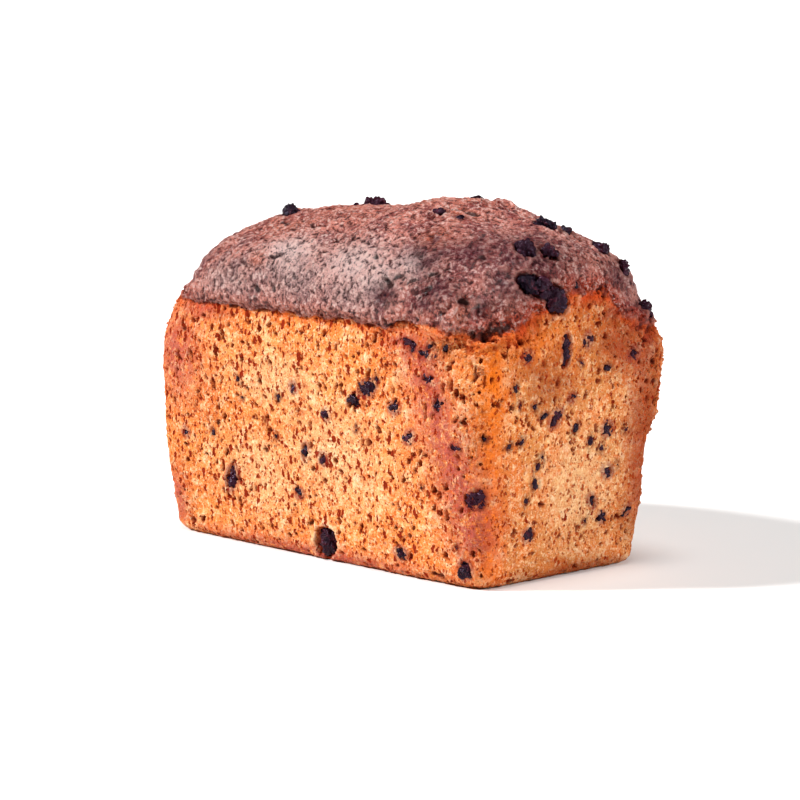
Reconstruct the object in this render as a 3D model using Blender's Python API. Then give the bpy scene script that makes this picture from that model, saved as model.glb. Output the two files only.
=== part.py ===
"""A tin-baked rye loaf with raisins, standing on its base.

The loaf is one solid: straight, slightly leaning sides from the baking tin, and a domed top crust
that hangs a little over the tin line along the sides. Every raisin that shows is a solid of its own,
set in a socket in the loaf.

The origin is the middle of the base. +X runs along the loaf, -Y is the long side seen first, +Z is up.
"""

import math
import random

import bmesh
import bpy
from mathutils import Matrix, Vector, noise
from mathutils.bvhtree import BVHTree

MM = 0.001

# Driving dimensions of the loaf, in millimetres.
BASE_LENGTH = 202.0
BASE_WIDTH = 99.0
TIN_HEIGHT = 107.5
CROWN_HEIGHT = 151.5
LEAN = 0.058
BELLY = 1.0
BASE_ROUND = 5.0

# The lip where the dome hangs over the tin line.
OVERHANG_SIDE = 3.0
OVERHANG_END = 0.4
LIP_HEIGHT = 6.0
CREASE_DEPTH = 1.4
END_LINE_LIFT = 9.0
END_LINE_ARCH = 34.0
LINE_WANDER = 0.9

# Local rises in plan: (place along X, place along Y, width along X, width along Y, rise).
# The tin line dips and arches beside the near corner and sags at the far corner of the right end.
LINE_BENDS = [(48, -50, 7, 40, -2.2), (62, -50, 6, 40, 3.0), (85, -50, 9, 18, -5.0), (100, 46, 14, 14, -5.0)]
# The crown has a hump right of the middle and a dip beside it.
CROWN_HUMPS = [(40, 4, 34, 60, 6.5), (9, 0, 11, 40, -2.0)]
CROWN_LEFT_FALL = 2.0
# The lip swells at the near corner and at the far corner of the right end.
LIP_SWELLS = [(84, -52, 12, 16, 1.5), (101, 49, 14, 16, 3.0)]
# The side bulges under that far corner.
SIDE_BULGE = [(102, 50, 16, 16, 5.0)]

# Unevenness of the surface: (height, wavelength, shift of the pattern).
SKIN_RIPPLES = [(0.9, 34, 3), (0.5, 14, 15)]
CRUST_RIPPLES = [(0.8, 20, 31)]
TORN_RIPPLES = [(1.6, 9, 43)]
TORN_BAND = 11.0

# Hollows in the crust: (start in plan, end in plan, width, depth). One parts the left bulge from
# the near lobe, and one is the fold that runs down to the near corner.
CRUST_GROOVES = [((58, -58), (44, -22), 6, 1.3), ((101, -56), (88, -46), 4, 1.4)]

# Exponents of the superellipses in plan and of the dome's profile.
SQUARE_BASE = 15.0
SQUARE_DOME_LEFT = 3.0
SQUARE_DOME_RIGHT = 4.0
ROUNDING_FROM = 76.0
ROUNDING_TO = TIN_HEIGHT + 10.0
DOME_ACROSS = 2.1
DOME_LEFT_END = 2.05
DOME_RIGHT_END = 2.8
CORNER_SLACK = 0.45
DOME_SWEEP = math.radians(52)

# The fine grid that the loaf is shaped on, in cells, and the triangles kept before and after
# the sockets are cut.
CORNER_TURN = 12.0
CELLS_ALONG = 76
CELLS_ACROSS = 36
ROWS = {"edge": 4, "side": 40, "lip": 7, "dome": 15}
UNCUT_FACES = 5200
LOAF_FACES = 8600

# Clear space round each raisin in its socket.
SOCKET_GAP = 0.56

SEED = 11

# Raisins on the near long side: place along X, height, length, width, turn in degrees.
RAISINS_FRONT = [
    (39, 80, 13, 8, 28),
    (30, 73.5, 7, 6, 0),
    (-8, 75.5, 6, 5.5, 80),
    (13, 66, 6, 5, 70),
    (-2, 48, 8, 5, 80),
    (9, 46, 6.5, 5.5, 60),
    (-53, 30, 13, 9, 70),
    (-84, 47.5, 6, 5, 0),
    (-8, 28.5, 6.5, 5.5, 20),
    (6.5, 8.8, 14.5, 12.5, 60),
    (55, 10.5, 9, 6.5, -10),
    (55, 73, 8, 5.5, 15),
    (64, 61.5, 9, 6, 40),
    (81, 77, 7, 6, 60),
    (65, 101, 9, 4.5, -20),
    (73.5, 97.5, 9, 4.5, -20),
    (75, 87, 8, 5, 0),
    (91, 60, 5.5, 4.5, 0),
    (92, 8.5, 9, 7, 75),
    (99.5, 38.5, 9, 7.5, 45),
]

# Raisins on the near end: place along Y, height, length, width, turn in degrees.
RAISINS_RIGHT = [
    (-5, 98, 14, 6, 88),
    (8, 101, 8, 5, 80),
    (-28, 97, 6.5, 5.5, 50),
    (-10.5, 69.5, 11, 7, 40),
    (-1, 77.5, 5.5, 4.5, 20),
    (22, 62, 8.5, 7.5, 0),
    (23, 43.5, 8, 6, -20),
    (14.5, 31.5, 8, 5, -50),
    (21.5, 23.5, 6, 5, -30),
    (37, 24.5, 6, 4.5, 60),
    (-23, 21.5, 7, 6, 0),
    (35, 93, 7, 5.5, 60),
    (-24.5, 126.5, 12, 8, -35),
    (-11.5, 119.5, 14.5, 10.5, -35),
    (2, 124, 6, 4, -20),
]

# Raisins on top: place along X, place along Y, length, width, turn in degrees.
RAISINS_TOP = [
    (-64, -7, 9.5, 8.5, 20),
    (-19, 4, 12, 7.5, 45),
    (46, -19, 6, 5, 0),
    (95, -18, 10, 8.5, 0),
    (100, -9, 8, 6.5, 30),
    (81, 9, 9.5, 6.5, 40),
    (83, 19, 6, 5, 0),
    (94.5, 29, 8.5, 7.5, 0),
    (98.5, 38, 8, 7, 20),
    (101, 48.5, 10, 8, 60),
]

# Raisins on the far sides: face, how many, and the lowest and highest place on that face.
HIDDEN_RAISINS = [
    ("back", 7, (-86, 14), (86, 98)),
    ("left", 3, (-34, 16), (34, 96)),
    ("top", 3, (-80, 12), (60, 44)),
]


def smooth(low, high, value):
    """0 at low, 1 at high and an even slope between."""
    share = max(0.0, min(1.0, (value - low) / (high - low)))
    return share * share * (3 - 2 * share)


def bell(value, middle, width):
    """1 at the middle, falling to nothing about two widths away."""
    return math.exp(-(((value - middle) / width) ** 2))


def rise_of(mounds, x, y):
    """Sum of the local rises at a place in plan."""
    return sum(
        rise * bell(x, at_x, width_x) * bell(y, at_y, width_y)
        for at_x, at_y, width_x, width_y, rise in mounds
    )


def groove(x, y, start, end, width):
    """1 along the line from start to end in plan, falling to nothing beside it."""
    run = (end[0] - start[0], end[1] - start[1])
    share = ((x - start[0]) * run[0] + (y - start[1]) * run[1]) / (run[0] ** 2 + run[1] ** 2)
    share = max(0.0, min(1.0, share))
    aside = math.hypot(x - start[0] - share * run[0], y - start[1] - share * run[1])
    return bell(aside, 0, width)


def ripple(x, y, z, height, wavelength, shift):
    """Smooth unevenness of about this height."""
    return height * noise.noise(Vector((x + shift, y - shift, z + 2 * shift)) / wavelength) * 1.6


def outline(u, v, half_length, half_width, square):
    """The point of the plan outline for a point (u, v) of the grid's edge, evenly spread."""
    half_arc = math.pi * CORNER_TURN / 4

    def along(share, half):
        flat = half - CORNER_TURN
        reach = abs(share) * (flat + half_arc)
        if reach <= flat:
            return math.copysign(reach, share), 0.0
        angle = (reach - flat) / CORNER_TURN
        place = flat + CORNER_TURN * math.sin(angle)
        return math.copysign(place, share), CORNER_TURN * (1 - math.cos(angle))

    if abs(v) >= abs(u):
        x, inset = along(u / abs(v), half_length)
        y = math.copysign(half_width - inset, v)
    else:
        y, inset = along(v / abs(u), half_width)
        x = math.copysign(half_length - inset, u)
    norm = (abs(x) / half_length) ** square + (abs(y) / half_width) ** square
    return Vector((x, y)) / norm ** (1 / square)


def grown_outline(u, v, reach, square):
    """The base's outline moved out by this reach."""
    return outline(u, v, BASE_LENGTH / 2 + reach, BASE_WIDTH / 2 + reach, square)


def end_share(x, y):
    """0 along the long sides, 1 across the ends and between the two at the corners."""
    end = (abs(x) / (BASE_LENGTH / 2)) ** 9
    side = (abs(y) / (BASE_WIDTH / 2)) ** 9
    return end / (end + side)


def tin_line(x, y):
    """Height of the crease under the crust's lip."""
    arch = END_LINE_LIFT * end_share(x, y) * bell(y, 0, END_LINE_ARCH)
    return TIN_HEIGHT + arch + ripple(x, y, 0, LINE_WANDER, 40, 7) + rise_of(LINE_BENDS, x, y)


def side_reach(height):
    """How far the side stands out from the base's outline at this height."""
    return LEAN * height + BELLY * math.sin(math.pi * min(1, height / TIN_HEIGHT))


def plan_square(height, x):
    """The plan's exponent: square corners low down and rounder ones under the dome."""
    dome = SQUARE_DOME_LEFT + (SQUARE_DOME_RIGHT - SQUARE_DOME_LEFT) * smooth(-50, 50, x)
    return SQUARE_BASE + (dome - SQUARE_BASE) * smooth(ROUNDING_FROM, ROUNDING_TO, height)


def crown_height(x, y):
    """Height that the dome would have with no shoulders, with its humps and hollows."""
    height = CROWN_HEIGHT + rise_of(CROWN_HUMPS, x, y) + ripple(x, y, 0, 1.0, 46, 21)
    return height - CROWN_LEFT_FALL * smooth(-40, -100, x)


def lip_reach(x, y):
    """How far the widest part of the lip stands out from the base's outline."""
    share = end_share(x, y)
    reach = side_reach(TIN_HEIGHT) + OVERHANG_SIDE * (1 - share) + OVERHANG_END * share
    return reach + rise_of(LIP_SWELLS, x, y)


def crease_reach(x, y):
    """How far the crease under the lip stands out from the base's outline."""
    return side_reach(TIN_HEIGHT) - CREASE_DEPTH * (1 - end_share(x, y))


def wall_point(u, v, stage, share):
    """A point of the base's edge, the side or the lip, in millimetres."""
    start = grown_outline(u, v, 0, SQUARE_BASE)
    line = tin_line(start.x, start.y)
    widest = lip_reach(start.x, start.y)
    crease = crease_reach(start.x, start.y)
    turn = share * math.pi / 2
    if stage == "edge":
        height = BASE_ROUND * (1 - math.cos(turn))
        reach = side_reach(height) - BASE_ROUND * (1 - math.sin(turn))
    elif stage == "side":
        height = BASE_ROUND + share * (line - BASE_ROUND)
        under = smooth(line - 9, line, height)
        reach = side_reach(height) * (1 - under) + crease * under
    else:
        height = line + LIP_HEIGHT * (1 - math.cos(turn))
        reach = crease + (widest - crease) * math.sin(turn)
    place = grown_outline(u, v, reach, plan_square(height, start.x))
    return Vector((place.x, place.y, height))


def dome_power(x, y):
    """Exponent of the dome's profile in the direction of this point of the base's outline."""
    lengthwise = (x / (BASE_LENGTH / 2)) ** 2
    lengthwise /= lengthwise + (y / (BASE_WIDTH / 2)) ** 2
    end = DOME_RIGHT_END if x > 0 else DOME_LEFT_END
    power = DOME_ACROSS + (end - DOME_ACROSS) * lengthwise**2
    # The left end's corners slope away more than the rest.
    return power - CORNER_SLACK * 4 * lengthwise * (1 - lengthwise) * smooth(0, -80, x)


def crown_point(edge, lip_height, power, turn):
    """The dome's curve over a point of the lip's outline, from the lip up to the ridge."""
    place = edge * math.cos(turn) ** (2 / power)
    rise = crown_height(place.x, place.y) - lip_height
    return Vector((place.x, place.y, lip_height + rise * math.sin(turn) ** (2 / power)))


def dome_point(u, v, share):
    """A point of the dome, from its widest outline (share 1) in to its middle (share 0)."""
    start = grown_outline(u, v, 0, SQUARE_BASE)
    lip_height = tin_line(start.x, start.y) + LIP_HEIGHT
    reach = lip_reach(start.x, start.y)
    edge = grown_outline(u, v, reach, plan_square(lip_height, start.x))
    power = dome_power(start.x, start.y)
    return crown_point(edge, lip_height, power, math.acos(share ** (power / 2)))


def grid_point(u, v, stage, share):
    """The place of one corner of the grid, from the base up the wall and over the dome."""
    if stage != "dome":
        return wall_point(u, v, stage, share)
    # The wall's rows stop where the dome has turned in by DOME_SWEEP, and the cap does the rest.
    spread = max(abs(u), abs(v), 1e-6)
    if spread < 1e-5:
        return dome_point(1.0, 0.0, 0.0)
    start = grown_outline(u / spread, v / spread, 0, SQUARE_BASE)
    power = dome_power(start.x, start.y)
    return dome_point(u / spread, v / spread, spread * math.cos(share * DOME_SWEEP) ** (2 / power))


def loaf_grid():
    """The loaf as a closed box of grid cells, each corner moved to its place on the loaf."""
    rows = [(stage, step / count) for stage, count in ROWS.items() for step in range(count)]
    rows.append(("dome", 1.0))
    last = len(rows) - 1
    far_i, far_j = CELLS_ALONG, CELLS_ACROSS
    mesh = bmesh.new()
    corners = {}

    def corner(i, j, k):
        if (i, j, k) not in corners:
            u, v = 2 * i / far_i - 1, 2 * j / far_j - 1
            corners[i, j, k] = mesh.verts.new(grid_point(u, v, *rows[k]))
        return corners[i, j, k]

    def face(*keys):
        mesh.faces.new([corner(*key) for key in keys])

    for i in range(far_i):
        for j in range(far_j):
            face((i, j, last), (i + 1, j, last), (i + 1, j + 1, last), (i, j + 1, last))
    for k in range(last):
        for i in range(far_i):
            face((i, 0, k), (i + 1, 0, k), (i + 1, 0, k + 1), (i, 0, k + 1))
            face((i, far_j, k), (i, far_j, k + 1), (i + 1, far_j, k + 1), (i + 1, far_j, k))
        for j in range(far_j):
            face((0, j, k), (0, j, k + 1), (0, j + 1, k + 1), (0, j + 1, k))
            face((far_i, j, k), (far_i, j + 1, k), (far_i, j + 1, k + 1), (far_i, j, k + 1))
    # The base is one flat face.
    ring = [(0, j, 0) for j in range(far_j)] + [(i, far_j, 0) for i in range(far_i)]
    ring += [(far_i, j, 0) for j in range(far_j, 0, -1)] + [(i, 0, 0) for i in range(far_i, 0, -1)]
    face(*ring)
    return mesh


def relief(x, y, z):
    """How far the surface stands out at a place of the smooth loaf, in millimetres."""
    line = tin_line(x, y)
    crust = smooth(line, line + 8, z)
    torn = end_share(x, y) * bell(z, line, TORN_BAND)
    lift = sum(ripple(x, y, z, *wave) for wave in SKIN_RIPPLES)
    lift += crust * sum(ripple(x, y, z, *wave) for wave in CRUST_RIPPLES)
    lift += torn * sum(ripple(x, y, z, *wave) for wave in TORN_RIPPLES)
    bulge = smooth(52, 68, z) * (1 - crust) + 0.5 * bell(z, 98, 10)
    lift += bulge * rise_of(SIDE_BULGE, x, y)
    for start, end, width, depth in CRUST_GROOVES:
        lift -= depth * crust * groove(x, y, start, end, width)
    # The base stays as flat as the tin left it.
    return lift * smooth(2, 12, z)


def shaped_loaf():
    """The fine loaf with its relief, in millimetres."""
    mesh = loaf_grid()
    mesh.normal_update()
    for vert in mesh.verts:
        if vert.co.z > 0.01:
            vert.co = vert.co + vert.normal * relief(*vert.co)
            vert.co.z = max(vert.co.z, 0.05)
    return mesh


def new_object(name, mesh, material=None):
    """A linked object from a bmesh in millimetres."""
    data = bpy.data.meshes.new(name)
    bmesh.ops.scale(mesh, vec=(MM, MM, MM), verts=mesh.verts)
    mesh.to_mesh(data)
    mesh.free()
    obj = bpy.data.objects.new(name, data)
    bpy.context.scene.collection.objects.link(obj)
    if material:
        data.materials.append(material)
    return obj


def plain_material(name, color, roughness):
    """One colour with one roughness."""
    material = bpy.data.materials.new(name)
    material.use_nodes = True
    shader = material.node_tree.nodes["Principled BSDF"]
    shader.inputs["Base Color"].default_value = (*color, 1)
    shader.inputs["Roughness"].default_value = roughness
    return material


def apply_modifiers(obj):
    """Replace the object's mesh with the one its modifiers make."""
    graph = bpy.context.evaluated_depsgraph_get()
    mesh = bpy.data.meshes.new_from_object(obj.evaluated_get(graph))
    obj.modifiers.clear()
    obj.data = mesh


def thin_out(obj, faces):
    """Keep about this many triangles, with the base still flat at height 0."""
    triangles = sum(len(face.vertices) - 2 for face in obj.data.polygons)
    thinner = obj.modifiers.new("thin", "DECIMATE")
    thinner.ratio = faces / triangles
    apply_modifiers(obj)
    for vert in obj.data.vertices:
        if vert.co.z < 0.2 * MM:
            vert.co.z = 0


def seen_raisins():
    """(face, place along, place up, length, width, turn) of every raisin on the seen sides."""
    raisins = [("front", *row) for row in RAISINS_FRONT]
    raisins += [("right", *row) for row in RAISINS_RIGHT]
    return raisins + [("top", *row) for row in RAISINS_TOP]


def spread_raisins():
    """Raisins of the same kind for the sides that face away, placed by a seeded draw."""
    draw = random.Random(SEED)
    raisins = []
    for face, count, low, high in HIDDEN_RAISINS:
        placed = []
        while len(placed) < count:
            place = (draw.uniform(low[0], high[0]), draw.uniform(low[1], high[1]))
            if all(math.dist(place, other) > 17 for other in placed):
                placed.append(place)
                length = draw.uniform(5.5, 11.0)
                width = length * draw.uniform(0.6, 0.85)
                raisins.append((face, *place, length, width, draw.uniform(-80, 80)))
    return raisins


def face_hit(tree, face, along, up):
    """The loaf's surface point and normal seen straight on from outside one face."""
    start, aim = {
        "front": (Vector((along, -300, up)), Vector((0, 1, 0))),
        "back": (Vector((along, 300, up)), Vector((0, -1, 0))),
        "right": (Vector((300, along, up)), Vector((-1, 0, 0))),
        "left": (Vector((-300, along, up)), Vector((1, 0, 0))),
        "top": (Vector((along, up, 300)), Vector((0, 0, -1))),
    }[face]
    place, normal, _, _ = tree.ray_cast(start, aim)
    return place, normal


def raisin_body(length, width, thickness, number):
    """A wrinkled, slightly flattened raisin round the origin, in millimetres."""
    mesh = bmesh.new()
    bmesh.ops.create_icosphere(mesh, subdivisions=2, radius=1.0)
    for vert in mesh.verts:
        place = vert.co.copy()
        dent = noise.noise(place * 1.3 + Vector((number * 3.1, 0, 0)))
        wrinkle = noise.noise(place * 3.1 + Vector((0, number * 1.7, 0)))
        size = 1 + 0.22 * dent + 0.10 * wrinkle
        vert.co = Vector((place.x * length, place.y * width, place.z * thickness)) * size / 2
    return mesh


def seat(tree, face, along, up, length, width, turn):
    """The matrix that puts a raisin on the loaf, and its thickness."""
    place, normal = face_hit(tree, face, along, up)
    on_crust = place.z > tin_line(place.x, place.y)
    thickness = width * (0.95 if on_crust else 0.7)
    proud = width * 0.36 if on_crust else 0.5 + width * 0.07
    level = Vector((0, 0, 1)) if abs(normal.z) < 0.7 else Vector((0, 1, 0))
    sideways = level.cross(normal).normalized()
    upward = normal.cross(sideways)
    frame = Matrix((sideways, upward, normal)).transposed().to_4x4()
    middle = place - normal * (thickness / 2 - proud)
    return Matrix.Translation(middle) @ frame @ Matrix.Rotation(math.radians(turn), 4, "Z"), thickness


def centre_all():
    """Move every mesh so that the origin is under the middle of the whole loaf's extent."""
    meshes = [obj.data for obj in bpy.context.scene.objects if obj.type == "MESH"]
    places = [vert.co for mesh in meshes for vert in mesh.vertices]
    middle = [(min(p[axis] for p in places) + max(p[axis] for p in places)) / 2 for axis in (0, 1)]
    for mesh in meshes:
        mesh.transform(Matrix.Translation((-middle[0], -middle[1], 0)))


def main():
    for old in list(bpy.data.objects):
        bpy.data.objects.remove(old)
    crust = plain_material("baked_rye_crust", (0.62, 0.33, 0.14), 0.8)
    skin = plain_material("dark_raisin_skin", (0.035, 0.02, 0.03), 0.45)

    fine = shaped_loaf()
    tree = BVHTree.FromBMesh(fine)
    loaf = new_object("loaf", fine, crust)
    thin_out(loaf, UNCUT_FACES)

    sockets = bmesh.new()
    for number, raisin in enumerate(seen_raisins() + spread_raisins(), 1):
        pose, thickness = seat(tree, *raisin)
        body = raisin_body(*raisin[3:5], thickness, number)
        body.transform(pose)
        body.normal_update()
        wider = body.copy()
        wider.normal_update()
        for vert, kept in zip(wider.verts, body.verts):
            vert.co = kept.co + kept.normal * SOCKET_GAP
        cutter = bpy.data.meshes.new("socket")
        wider.to_mesh(cutter)
        sockets.from_mesh(cutter)
        wider.free()
        new_object(f"raisin_{number:02d}", body, skin)

    cutters = new_object("sockets", sockets)
    cut = loaf.modifiers.new("sockets", "BOOLEAN")
    cut.operation = "DIFFERENCE"
    cut.solver = "EXACT"
    cut.use_self = True
    cut.object = cutters
    apply_modifiers(loaf)
    bpy.data.objects.remove(cutters)
    thin_out(loaf, LOAF_FACES)
    centre_all()


main()
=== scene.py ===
# %% [markdown]
# # A tin-baked rye loaf with raisins
# Bread looks real when three scales are right: the big form that the tin and the oven gave it, the
# lumps, pores and cracks of a few millimetres, and the fine grain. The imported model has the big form.
# This script copies it, adds the middle scale as real geometry, and leaves the finest scale to the
# materials.

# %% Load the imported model
import math

import bmesh
import bpy
import numpy as np
from mathutils import Matrix, Vector


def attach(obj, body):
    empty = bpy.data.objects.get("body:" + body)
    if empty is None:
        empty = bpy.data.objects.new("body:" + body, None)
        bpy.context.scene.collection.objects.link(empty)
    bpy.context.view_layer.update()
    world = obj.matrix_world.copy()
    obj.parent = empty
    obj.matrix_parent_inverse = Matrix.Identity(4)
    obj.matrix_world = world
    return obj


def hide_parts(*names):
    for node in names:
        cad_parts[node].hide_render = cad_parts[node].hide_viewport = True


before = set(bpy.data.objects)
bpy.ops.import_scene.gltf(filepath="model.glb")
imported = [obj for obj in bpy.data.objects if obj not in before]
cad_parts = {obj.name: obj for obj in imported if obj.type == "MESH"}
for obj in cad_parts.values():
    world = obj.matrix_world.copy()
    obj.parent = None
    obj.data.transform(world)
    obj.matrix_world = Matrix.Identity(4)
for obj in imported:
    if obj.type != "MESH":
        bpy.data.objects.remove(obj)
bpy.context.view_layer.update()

MM = 0.001
RAISIN_NODES = sorted(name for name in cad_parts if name.startswith("raisin"))
print("raisins in the packed model:", len(RAISIN_NODES))

# %% [markdown]
# Node trees get long, and most of their lines would be the same three calls: add a node, set its
# properties, link its inputs. One small function does all three. It takes a value, a socket or a whole
# node for each input, and counts only the sockets that are switched on, because a Mix node, for
# instance, hides a set of sockets for each kind of data.


# %% One helper that adds any node
def node(tree, kind, inputs=None, **settings):
    """Add a node, set its properties, and set or link its inputs by name or number."""
    made = tree.nodes.new(kind)
    for name, value in settings.items():
        setattr(made, name, value)
    live = [socket for socket in made.inputs if socket.enabled]
    for key, value in (inputs or {}).items():
        socket = live[key] if isinstance(key, int) else next(s for s in live if s.name == key)
        if isinstance(value, bpy.types.Node):
            value = next(s for s in value.outputs if s.enabled)
        if isinstance(value, bpy.types.NodeSocket):
            tree.links.new(value, socket)
        else:
            socket.default_value = value
    return made


def linear(code):
    """The linear RGBA of an sRGB hex colour."""
    parts = [int(code[i : i + 2], 16) / 255 for i in (1, 3, 5)]
    return (*[p / 12.92 if p <= 0.04045 else ((p + 0.055) / 1.055) ** 2.4 for p in parts], 1.0)


print("linear value of mid grey:", round(linear("#808080")[0], 3))

# %% [markdown]
# Two patterns come back all over a loaf. Blotches are soft fields of any size: browning, crumb, grain.
# Pores are burst bubbles: cell noise gives each bubble its place, and the cell's own random colour its
# radius, so many cells have none. A noise bends the space first, so that the bubbles aren't round. Both
# work in geometry trees and in materials, because these nodes exist in both.


# %% Blotches and bubbles
NARROWEST_BUBBLE = 0.35
BEND_SCALE = 1.1


def millimetres(tree, place):
    """The place in millimetres, so that every pattern's size can be given in them."""
    return node(tree, "ShaderNodeVectorMath", {0: place, "Scale": 1 / MM}, operation="SCALE")


def blotches(tree, place, size, low, high, seed=0.0, detail=4.0, rough=0.6):
    """Noise of this size in mm, from 0 where it is under low to 1 where it is over high."""
    moved = node(tree, "ShaderNodeVectorMath", {0: place, 1: (seed, seed, seed)}, operation="ADD")
    noise = {"Vector": moved, "Scale": 1 / size, "Detail": detail, "Roughness": rough}
    noise = node(tree, "ShaderNodeTexNoise", noise)
    edges = {"Value": noise.outputs[0], "From Min": low, "From Max": high}
    return node(tree, "ShaderNodeMapRange", edges, interpolation_type="SMOOTHSTEP")


def bubbles(tree, place, spacing, bare_share, widest, squash=1.0, wander=1.0):
    """How deep a point lies in a burst bubble, as a share of their spacing. squash draws them upwards."""
    warp = node(tree, "ShaderNodeTexNoise", {"Vector": place, "Scale": BEND_SCALE / spacing, "Detail": 3.0})
    warp = {0: warp.outputs["Color"], "Scale": wander * spacing}
    warp = node(tree, "ShaderNodeVectorMath", warp, operation="SCALE")
    flat = node(tree, "ShaderNodeVectorMath", {0: place, 1: (1.0, 1.0, squash)}, operation="MULTIPLY")
    bent = node(tree, "ShaderNodeVectorMath", {0: flat, 1: warp}, operation="ADD")
    cells = node(tree, "ShaderNodeTexVoronoi", {"Vector": bent, "Scale": 1 / spacing})
    chance = node(tree, "ShaderNodeSeparateXYZ", {0: cells.outputs["Color"]})
    limits = {"Value": chance, "From Min": bare_share, "From Max": 1.0}
    limits |= {"To Min": 1 + NARROWEST_BUBBLE * widest, "To Max": 1 + widest}
    radius = node(tree, "ShaderNodeMapRange", limits)
    burst = node(tree, "ShaderNodeMath", {0: chance, 1: bare_share}, operation="GREATER_THAN")
    radius = node(tree, "ShaderNodeMath", {0: radius, 1: burst, 2: -1.0}, operation="MULTIPLY_ADD")
    return node(tree, "ShaderNodeMath", {0: radius, 1: cells}, operation="SUBTRACT")


def painted(tree, base, coats):
    """Lay colours over a base, which is a colour or a node, each by a strength times all its masks."""
    color = linear(base) if isinstance(base, str) else base
    for code, strength, *masks in coats:
        share = strength
        for mask in masks:
            share = node(tree, "ShaderNodeMath", {0: mask, 1: share}, operation="MULTIPLY")
        mix = {"Factor": share, "A": color, "B": linear(code)}
        color = next(s for s in node(tree, "ShaderNodeMix", mix, data_type="RGBA").outputs if s.enabled)
    return color


print("the narrowest bubble is", NARROWEST_BUBBLE, "of the widest")

# %% [markdown]
# A geometry tree gets a mesh and gives one back. It starts with a named input for each size, so that the
# sizes can be found and changed, and it ends in real geometry with a material. Once the tree has run, its
# result is kept as a plain mesh and the modifier goes.


# %% Trees that shape a mesh
def start_tree(name, sizes):
    """A geometry tree with a mesh in and out and a named input for each size."""
    tree = bpy.data.node_groups.new(name, "GeometryNodeTree")
    tree.interface.new_socket("Geometry", in_out="INPUT", socket_type="NodeSocketGeometry")
    for label, value in sizes.items():
        socket = tree.interface.new_socket(label, in_out="INPUT", socket_type="NodeSocketFloat")
        socket.default_value = value
    tree.interface.new_socket("Geometry", in_out="OUTPUT", socket_type="NodeSocketGeometry")
    return tree, tree.nodes.new("NodeGroupInput")


def pushed_out(tree, shape, height):
    """The shape with its points moved along their normals by a height in millimetres."""
    push = node(tree, "ShaderNodeMath", {0: height, 1: MM}, operation="MULTIPLY")
    push = {0: node(tree, "GeometryNodeInputNormal"), "Scale": push}
    push = node(tree, "ShaderNodeVectorMath", push, operation="SCALE")
    return node(tree, "GeometryNodeSetPosition", {"Geometry": shape, "Offset": push})


def balls_on(tree, points, turn, size, rounds):
    """A real ball on each point, 1 mm in radius, turned and stretched by size."""
    ball = node(tree, "GeometryNodeMeshIcoSphere", {"Radius": MM, "Subdivisions": rounds})
    placed = {"Points": points, "Instance": ball, "Rotation": turn, "Scale": size}
    placed = node(tree, "GeometryNodeInstanceOnPoints", placed)
    return node(tree, "GeometryNodeRealizeInstances", {0: placed})


def finish_tree(tree, shape, material):
    """End the tree in real, painted geometry."""
    real = node(tree, "GeometryNodeRealizeInstances", {0: shape})
    coated = node(tree, "GeometryNodeSetMaterial", {"Geometry": real, "Material": material})
    node(tree, "NodeGroupOutput", {0: coated})


def settle(obj):
    """Turn the object's modifiers into a plain mesh."""
    graph = bpy.context.evaluated_depsgraph_get()
    mesh = bpy.data.meshes.new_from_object(obj.evaluated_get(graph))
    obj.modifiers.clear()
    obj.data = mesh


def grow(obj, tree, sizes):
    """Run the tree on the object, with its inputs set by identifier, and keep the result as a mesh."""
    modifier = obj.modifiers.new(tree.name, "NODES")
    modifier.node_group = tree
    for item in tree.interface.items_tree:
        if item.in_out == "INPUT" and item.name in sizes:
            modifier[item.identifier] = sizes[item.name]
    settle(obj)


def new_object(label, mesh):
    """An object with this mesh, in the scene."""
    obj = bpy.data.objects.new(label, mesh)
    bpy.context.scene.collection.objects.link(obj)
    return obj


def triangles(obj):
    """How many triangles the object's mesh makes."""
    return sum(len(face.vertices) - 2 for face in obj.data.polygons)


print("helpers ready")

# %% [markdown]
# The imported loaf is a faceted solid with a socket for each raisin. The sockets are plugged with swollen
# copies of the raisins, and a voxel remesh fuses all of it into one even net of small squares, which is
# what displacement needs. A few rounds of smoothing then take the facets away and keep the form.

# %% An even, smooth skin for the loaf
SKIN_MESH = 0.94 * MM
RELAX_ROUNDS = 30
PLUG_SWELL = 0.75 * MM


def merged(names, swell=0.0):
    """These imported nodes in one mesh, with their loose triangles merged, grown by swell."""
    whole = bmesh.new()
    for name in names:
        whole.from_mesh(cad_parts[name].data)
    bmesh.ops.remove_doubles(whole, verts=whole.verts, dist=1e-6)
    whole.normal_update()
    for vert in whole.verts:
        vert.co += vert.normal * swell
    return whole


plugged = merged(["loaf"])
plugs = bpy.data.meshes.new("plugs")
merged(RAISIN_NODES, PLUG_SWELL).to_mesh(plugs)
plugged.from_mesh(plugs)
bread = new_object("bread", bpy.data.meshes.new("bread"))
plugged.to_mesh(bread.data)


def even_net(obj, size, rounds):
    """Remesh the object into small squares and smooth the facets away."""
    remesh = obj.modifiers.new("even_net", "REMESH")
    remesh.mode = "VOXEL"
    remesh.voxel_size = size
    relax = obj.modifiers.new("relax", "SMOOTH")
    relax.factor = 0.5
    relax.iterations = rounds
    settle(obj)


even_net(bread, SKIN_MESH, RELAX_ROUNDS)
print("faces in the loaf's skin:", len(bread.data.polygons))

# %% [markdown]
# Everything that happens at one place, such as a crack or a stain, is written as a place in
# millimetres from the middle of the base, with a width. A few array functions turn such places into
# one number for each point of the skin. They run on whole arrays, which is far faster than a loop
# over points.


# %% Places on the skin
def coordinates(mesh, what="co"):
    """All points, or all normals, of a mesh as one array."""
    source = mesh.vertices if what == "co" else mesh.vertex_normals
    flat = np.empty(len(source) * 3, dtype=np.float32)
    source.foreach_get("co" if what == "co" else "vector", flat)
    return flat.reshape(-1, 3).astype(float)


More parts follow.
